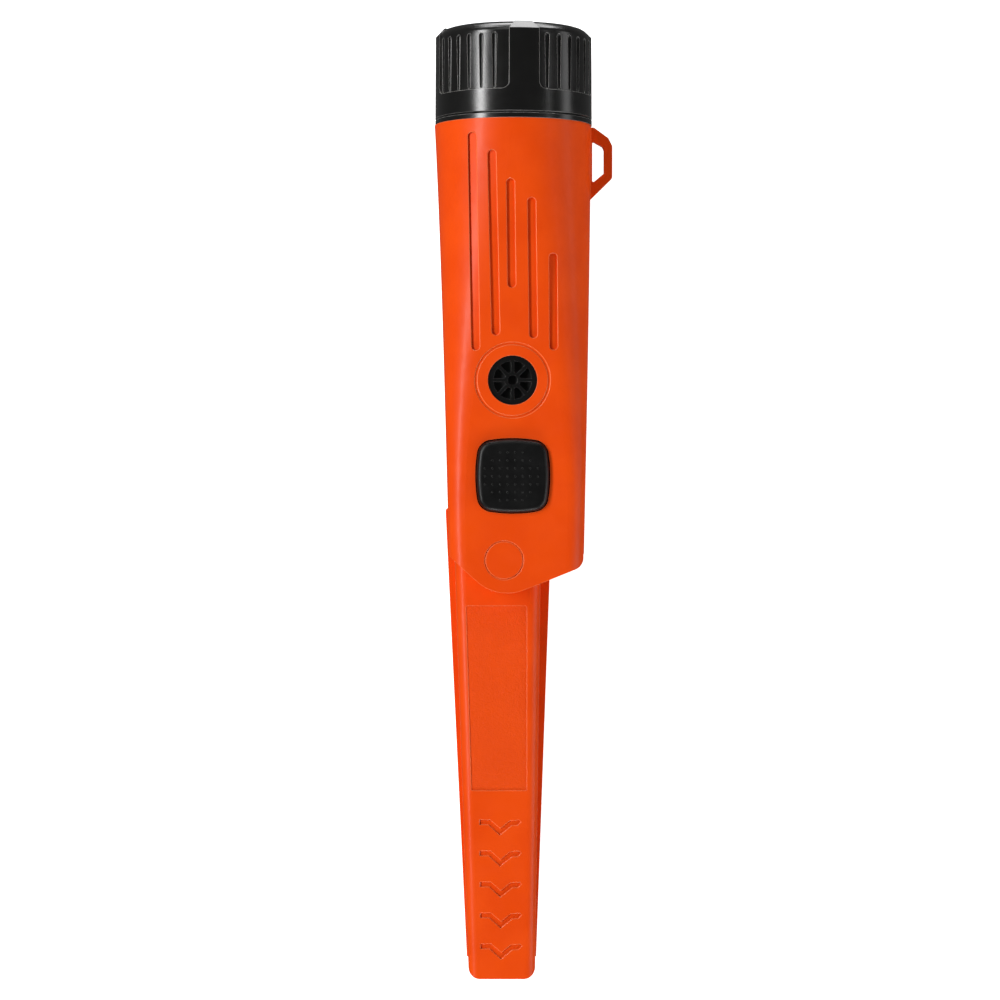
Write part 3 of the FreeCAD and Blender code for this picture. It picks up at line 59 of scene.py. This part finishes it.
class Shader:
    """A small builder for one node-based material."""

    def __init__(self, name):
        self.material = bpy.data.materials.new(name)
        self.material.use_nodes = True
        self.tree = self.material.node_tree
        self.surface = self.tree.nodes["Principled BSDF"]
        self.position = self.node("ShaderNodeTexCoord").outputs["Object"]

    def node(self, kind, **settings):
        made = self.tree.nodes.new(kind)
        for key, value in settings.items():
            setattr(made, key, value)
        return made

    def link(self, source, target):
        self.tree.links.new(source, target)

    def constant(self, **sockets):
        for name, value in sockets.items():
            self.surface.inputs[name.replace("_", " ")].default_value = value

    def noise(self, size, detail=3.0, roughness=0.5, stretch=(1, 1, 1)):
        """Noise whose features are about size metres wide."""
        mapping = self.node("ShaderNodeMapping")
        mapping.inputs["Scale"].default_value = stretch
        self.link(self.position, mapping.inputs["Vector"])
        noise = self.node("ShaderNodeTexNoise")
        noise.inputs["Scale"].default_value = 1 / size
        noise.inputs["Detail"].default_value = detail
        noise.inputs["Roughness"].default_value = roughness
        self.link(mapping.outputs["Vector"], noise.inputs["Vector"])
        return noise.outputs["Fac"]

    def ramp(self, source, low, high, out_low, out_high):
        """Map a value from low..high to out_low..out_high, clamped."""
        mapped = self.node("ShaderNodeMapRange", interpolation_type="SMOOTHSTEP")
        for name, value in (("From Min", low), ("From Max", high), ("To Min", out_low), ("To Max", out_high)):
            mapped.inputs[name].default_value = value
        self.link(source, mapped.inputs["Value"])
        return mapped.outputs["Result"]

    def math(self, operation, first, second):
        node = self.node("ShaderNodeMath", operation=operation)
        for socket, source in zip(node.inputs, (first, second)):
            if isinstance(source, (int, float)):
                socket.default_value = source
            else:
                self.link(source, socket)
        return node.outputs["Value"]

    def mix(self, factor, first, second):
        """Blend two colours by a factor socket."""
        node = self.node("ShaderNodeMix", data_type="RGBA")
        self.link(factor, node.inputs["Factor"])
        for socket, source in ((node.inputs[6], first), (node.inputs[7], second)):
            if isinstance(source, tuple):
                socket.default_value = source + (1.0,)
            else:
                self.link(source, socket)
        return node.outputs[2]

    def colour(self, source):
        self.link(source, self.surface.inputs["Base Color"])

    def roughness(self, source):
        self.link(source, self.surface.inputs["Roughness"])

    def bump(self, *layers, edge=0.0):
        """Stack (height socket, depth in metres) layers into the normal, over softened edges."""
        normal = None
        if edge:
            normal = self.bevelled(edge)
        for height, depth in layers:
            bump = self.node("ShaderNodeBump")
            bump.inputs["Distance"].default_value = depth
            self.link(height, bump.inputs["Height"])
            if normal is not None:
                self.link(normal, bump.inputs["Normal"])
            normal = bump.outputs["Normal"]
        self.link(normal, self.surface.inputs["Normal"])

    def bevelled(self, radius):
        """The normal softened over edges, within radius metres."""
        bevel = self.node("ShaderNodeBevel", samples=BEVEL_SAMPLES)
        bevel.inputs["Radius"].default_value = radius
        return bevel.outputs["Normal"]

    def edge_mask(self, radius):
        """1 along edges and 0 elsewhere: how far the softened normal leans from the real one."""
        geometry = self.node("ShaderNodeNewGeometry")
        dot = self.node("ShaderNodeVectorMath", operation="DOT_PRODUCT")
        self.link(self.bevelled(radius), dot.inputs[0])
        self.link(geometry.outputs["Normal"], dot.inputs[1])
        return self.ramp(dot.outputs["Value"], EDGE_FULL, EDGE_NONE, 1.0, 0.0)

    def coordinate(self, axis):
        split = self.node("ShaderNodeSeparateXYZ")
        self.link(self.position, split.inputs["Vector"])
        return split.outputs[axis]

    def between(self, source, low, high, soft):
        """1 between low and high, 0 outside, over a soft border."""
        rise = self.ramp(source, low - soft, low + soft, 0.0, 1.0)
        fall = self.ramp(source, high - soft, high + soft, 1.0, 0.0)
        return self.math("MULTIPLY", rise, fall)

    def specks(self, spacing, size):
        """Sparse round specks about size metres wide."""
        cells = self.node("ShaderNodeTexVoronoi", feature="F1")
        cells.inputs["Scale"].default_value = 1 / spacing
        self.link(self.position, cells.inputs["Vector"])
        near = self.ramp(cells.outputs["Distance"], 0.0, size / spacing, 1.0, 0.0)
        chosen = self.ramp(self.noise(spacing * 3, 1.0), 0.56, 0.62, 0.0, 1.0)
        return self.math("MULTIPLY", near, chosen)


def mottled(name, dark, light, rough, edge=SOFT_EDGE, worn=None):
    """The colour and roughness of moulded plastic or rubber. The colour is left in base, to be linked."""
    shader = Shader(name)
    mottle = shader.noise(0.012, 4.0)
    shader.base = shader.mix(shader.ramp(mottle, 0.35, 0.65, 0.0, 1.0), dark, light)
    # painted highlight: the colour lightens along edges, standing in for light caught by their rounding
    if worn:
        shader.worn = shader.edge_mask(edge)
        shader.base = shader.mix(shader.math("MULTIPLY", shader.worn, PAINTED_HIGHLIGHT_MIX), shader.base, worn)
    handling = shader.noise(0.004, 5.0, 0.6)
    shader.roughness(shader.ramp(handling, 0.3, 0.75, rough * 0.88, rough * 1.15))
    return shader


def moulded(name, dark, light, rough, grain=FINE_GRAIN, grain_depth=FINE_GRAIN_DEPTH, edge=SOFT_EDGE, worn=None):
    """Moulded plastic or rubber: slight mottling, fine grain, soft edges and a painted highlight (lighter colour)
    along edges.
    """
    shader = mottled(name, dark, light, rough, edge, worn)
    shader.colour(shader.base)
    shader.bump((shader.noise(grain, 2.0), grain_depth), edge=edge)
    return shader


def metal(name, dark, light, rough, stretch=(1, 1, 1)):
    """Plated or turned metal with fine streaks."""
    shader = Shader(name)
    shader.constant(Metallic=1.0)
    streak = shader.noise(0.0004, 4.0, 0.6, stretch)
    shader.colour(shader.mix(streak, dark, light))
    shader.roughness(shader.ramp(streak, 0.3, 0.7, rough * 0.8, rough * 1.3))
    shader.bump((streak, 0.000004), edge=0.00008)
    return shader


# the recessed panel on the probe's front face, which has a coarser grain
PANEL_LEFT, PANEL_RIGHT = -0.01185, 0.0033
PANEL_TOP, PANEL_LOW = -0.0263, -0.0725
PANEL_LEAN = 0.00135 / (PANEL_TOP - PANEL_LOW)
PANEL_OVER = 0.0155


def panel_mask(shader):
    """1 on the floor of the recessed panel."""
    x, y, z = (shader.coordinate(axis) for axis in "XYZ")
    down = shader.math("SUBTRACT", PANEL_TOP, y)
    straight = shader.math("SUBTRACT", x, shader.math("MULTIPLY", down, PANEL_LEAN))
    across = shader.math("MULTIPLY", shader.between(straight, PANEL_LEFT, 0.02, 0.0001),
                         shader.between(x, -0.02, PANEL_RIGHT, 0.0001))
    along = shader.between(y, PANEL_LOW, PANEL_TOP, 0.0001)
    front = shader.ramp(z, PANEL_OVER, PANEL_OVER + 0.001, 0.0, 1.0)
    return shader.math("MULTIPLY", shader.math("MULTIPLY", across, along), front)


ORANGE_DARK, ORANGE_LIGHT = (0.74, 0.060, 0.0016), (0.78, 0.068, 0.0022)
# painted highlight: the pale colour laid along the shell's edges
ORANGE_PAINTED_HIGHLIGHT = (1.0, 0.26, 0.085)
ORANGE_PANEL = (0.78, 0.070, 0.002)
ORANGE_EDGE = 0.00026
SHELL_GRAIN, SHELL_GRAIN_DEPTH = 0.00022, 0.000012
PANEL_GRAIN, PANEL_GRAIN_DEPTH = 0.0005, 0.00018


def make_orange():
    """Moulded shell: satin with a fine grain, a thin smooth skin, a spark-eroded panel and a painted highlight
    along edges.
    """
    shader = mottled("orange_shell", ORANGE_DARK, ORANGE_LIGHT, 0.42, ORANGE_EDGE, ORANGE_PAINTED_HIGHLIGHT)
    panel = panel_mask(shader)
    grain = shader.noise(PANEL_GRAIN, 3.0, 0.8)
    pits = shader.math("MULTIPLY", panel, grain)
    shader.colour(shader.mix(pits, shader.base, ORANGE_PANEL))
    shader.bump((shader.noise(SHELL_GRAIN, 2.0), SHELL_GRAIN_DEPTH), (pits, PANEL_GRAIN_DEPTH), edge=ORANGE_EDGE)
    shader.constant(Specular_IOR_Level=0.14, Coat_Roughness=0.2)
    shader.link(shader.ramp(shader.worn, 0.0, 1.0, 0.07, 0.35), shader.surface.inputs["Coat Weight"])
    shader.link(shader.bevelled(ORANGE_EDGE), shader.surface.inputs["Coat Normal"])
    return shader


def make_cap_black():
    # the last colour is a painted highlight, pale grey along the cap's edges
    shader = moulded("cap_plastic", (0.0030, 0.0030, 0.0028), (0.0045, 0.0045, 0.0042), 0.22, 0.00016, 0.000009,
                     0.00018, (0.42, 0.41, 0.39))
    shader.constant(IOR=1.6)
    return shader


def make_rubber():
    """Button rubber with a few pale specks of dust."""
    # the last colour is a painted highlight along the button's edges
    shader = moulded("button_rubber", (0.002, 0.002, 0.002), (0.0035, 0.0035, 0.0035), 0.40,
                     FINE_GRAIN, FINE_GRAIN_DEPTH, 0.00012, (0.035, 0.035, 0.034))
    shader.constant(Specular_IOR_Level=0.26)
    shader.colour(shader.mix(shader.specks(0.0011, 0.00009), shader.base, (0.22, 0.21, 0.2)))
    return shader


def make_lens():
    shader = moulded("clear_lens", (0.85, 0.88, 0.9), (0.95, 0.97, 1.0), 0.08, 0.0004, 0.000002)
    shader.constant(Transmission_Weight=0.9, IOR=1.58)
    return shader


# slot, dark colour, light colour, roughness, then the grain, its depth, the edge and the painted edge-highlight
# colour if not usual
MOULDED = [
    # the grille's last colour is a painted highlight along its edges
    ("grille_plastic", (0.0025, 0.0025, 0.0025), (0.004, 0.004, 0.004), 0.24,
     0.00012, 0.000003, 0.0001, (0.09, 0.09, 0.087)),
    ("seal_rubber", (0.015, 0.015, 0.015), (0.025, 0.025, 0.025), 0.6),
    ("inner_plastic", (0.03, 0.03, 0.032), (0.05, 0.05, 0.052), 0.5),
    ("mesh_cloth", (0.01, 0.01, 0.01), (0.03, 0.03, 0.03), 0.8, 0.0002, 0.00003),
    ("board_green", (0.006, 0.09, 0.03), (0.01, 0.13, 0.045), 0.35),
    ("chip_black", (0.012, 0.012, 0.012), (0.02, 0.02, 0.02), 0.55),
    ("ferrite", (0.025, 0.025, 0.028), (0.045, 0.045, 0.05), 0.6, 0.0003, 0.00001),
    ("foam", (0.02, 0.02, 0.02), (0.05, 0.05, 0.05), 0.95, 0.0006, 0.0001),
    ("wire_red", (0.4, 0.01, 0.01), (0.5, 0.02, 0.015), 0.4),
    ("wire_black", (0.012, 0.012, 0.012), (0.02, 0.02, 0.02), 0.4),
]

# slot, dark colour, light colour, roughness, then how the streaks are stretched if they are
METALS = [
    ("brass_disc", (0.65, 0.42, 0.15), (0.78, 0.56, 0.25), 0.3),
    ("nickel", (0.6, 0.58, 0.55), (0.75, 0.73, 0.7), 0.25),
    ("screw_steel", (0.03, 0.03, 0.032), (0.06, 0.06, 0.062), 0.45),
    ("battery_can", (0.03, 0.035, 0.05), (0.05, 0.055, 0.075), 0.35, (1, 0.1, 1)),
    ("capacitor_can", (0.5, 0.5, 0.52), (0.7, 0.7, 0.72), 0.3),
    ("copper_wire", (0.55, 0.2, 0.07), (0.75, 0.32, 0.13), 0.3),
    ("tungsten", (0.25, 0.25, 0.26), (0.38, 0.38, 0.4), 0.4),
]


def make_materials():
    """One material for each slot of the record."""
    made = {"orange_shell": make_orange(), "cap_plastic": make_cap_black(), "button_rubber": make_rubber(),
            "clear_lens": make_lens()}
    made.update((row[0], moulded(*row)) for row in MOULDED)
    made.update((row[0], metal(*row)) for row in METALS)
    made["black_plastic"] = made["cap_plastic"]
    return {slot: shader.material for slot, shader in made.items()}


def dress_cad_nodes(materials):
    """Give every CAD node the material of its slot."""
    slots = {entry["node"]: entry["material_slot"] for entry in frame["record"]["subparts"]}
    for name, thing in frame["nodes"].items():
        thing.data.materials.clear()
        thing.data.materials.append(materials[slots[name]])


# ---------------------------------------------------------------- studio

CAMERA_HEIGHT = 0.800
FIELD_WIDTH = 0.2494
VIEW_X = -0.00337
SENSOR_MM = 36.0
FLOOR_SIZE, FLOOR_DROP, FLOOR_GLOW = 6.0, 0.0002, 0.9
SKY_STRENGTH = 0.10

# name, place, aim, wide, tall, watts
LIGHTS = [
    ("key_left", (-0.95, 0.3, 0.84), (0, 0.3, 0.02), 1.4, 0.24, 18.8),
    ("strip_right", (1.0, 0.1, 0.78), (0, 0.0, 0.02), 1.5, 0.06, 0.7),
    ("side_right", (1.30, 0.0, 0.16), (0, 0, 0.02), 1.8, 0.3, 3),
    ("probe_right", (1.1, -0.7, 0.45), (0.005, -0.075, 0.02), 1.2, 0.7, 9),
    ("top_low", (0.05, 0.9, -0.05), (0, 0.1, 0.03), 0.9, 0.4, 9),
    ("overhead_top", (-0.1, 1.1, 1.0), (0, 0.05, 0.02), 1.2, 0.3, 2.0),
    ("foot_low", (-0.1, -1.2, 0.35), (0, -0.05, 0.02), 1.0, 0.3, 8),
]


def make_camera():
    data = bpy.data.cameras.new("camera")
    data.sensor_width = SENSOR_MM
    data.lens = data.sensor_width * CAMERA_HEIGHT / FIELD_WIDTH
    data.clip_start, data.clip_end = 0.01, 20.0
    camera = bpy.data.objects.new("camera", data)
    camera.location = (VIEW_X, 0.0, AXIS_Z + CAMERA_HEIGHT)
    bpy.context.scene.collection.objects.link(camera)
    bpy.context.scene.camera = camera


def area_light(name, location, target, wide, tall, power):
    """A soft box: wide is its level side, tall the side that leans with the beam."""
    data = bpy.data.lights.new(name, "AREA")
    data.shape = "RECTANGLE"
    data.size, data.size_y = wide, tall
    data.energy = power
    lamp = bpy.data.objects.new(name, data)
    lamp.location = location
    aim = Vector(target) - Vector(location)
    lamp.rotation_euler = aim.to_track_quat("-Z", "Y").to_euler()
    lamp.visible_camera = False
    bpy.context.scene.collection.objects.link(lamp)


def make_floor():
    """A plain white floor that glows, and that neither lights the object nor stands between it and a lamp."""
    bpy.ops.mesh.primitive_plane_add(size=FLOOR_SIZE, location=(0, 0, cad_low.z - FLOOR_DROP))
    floor = bpy.context.object
    floor.name = "studio_floor"
    shader = Shader("studio_floor")
    shader.colour(shader.mix(shader.noise(0.5), (0.86, 0.86, 0.86), (0.88, 0.88, 0.88)))
    shader.constant(Roughness=0.9, Emission_Color=(1, 1, 1, 1), Emission_Strength=FLOOR_GLOW)
    floor.data.materials.append(shader.material)
    floor.visible_glossy = False
    floor.visible_diffuse = False
    floor.visible_shadow = False


def make_sky():
    world = bpy.data.worlds.new("studio_world")
    world.use_nodes = True
    background = world.node_tree.nodes["Background"]
    background.inputs["Color"].default_value = (1, 1, 1, 1)
    background.inputs["Strength"].default_value = SKY_STRENGTH
    bpy.context.scene.world = world


def make_studio():
    make_camera()
    make_floor()
    for row in LIGHTS:
        area_light(*row)
    make_sky()
    bpy.context.scene.view_settings.view_transform = "Standard"


dress_cad_nodes(make_materials())
make_studio()
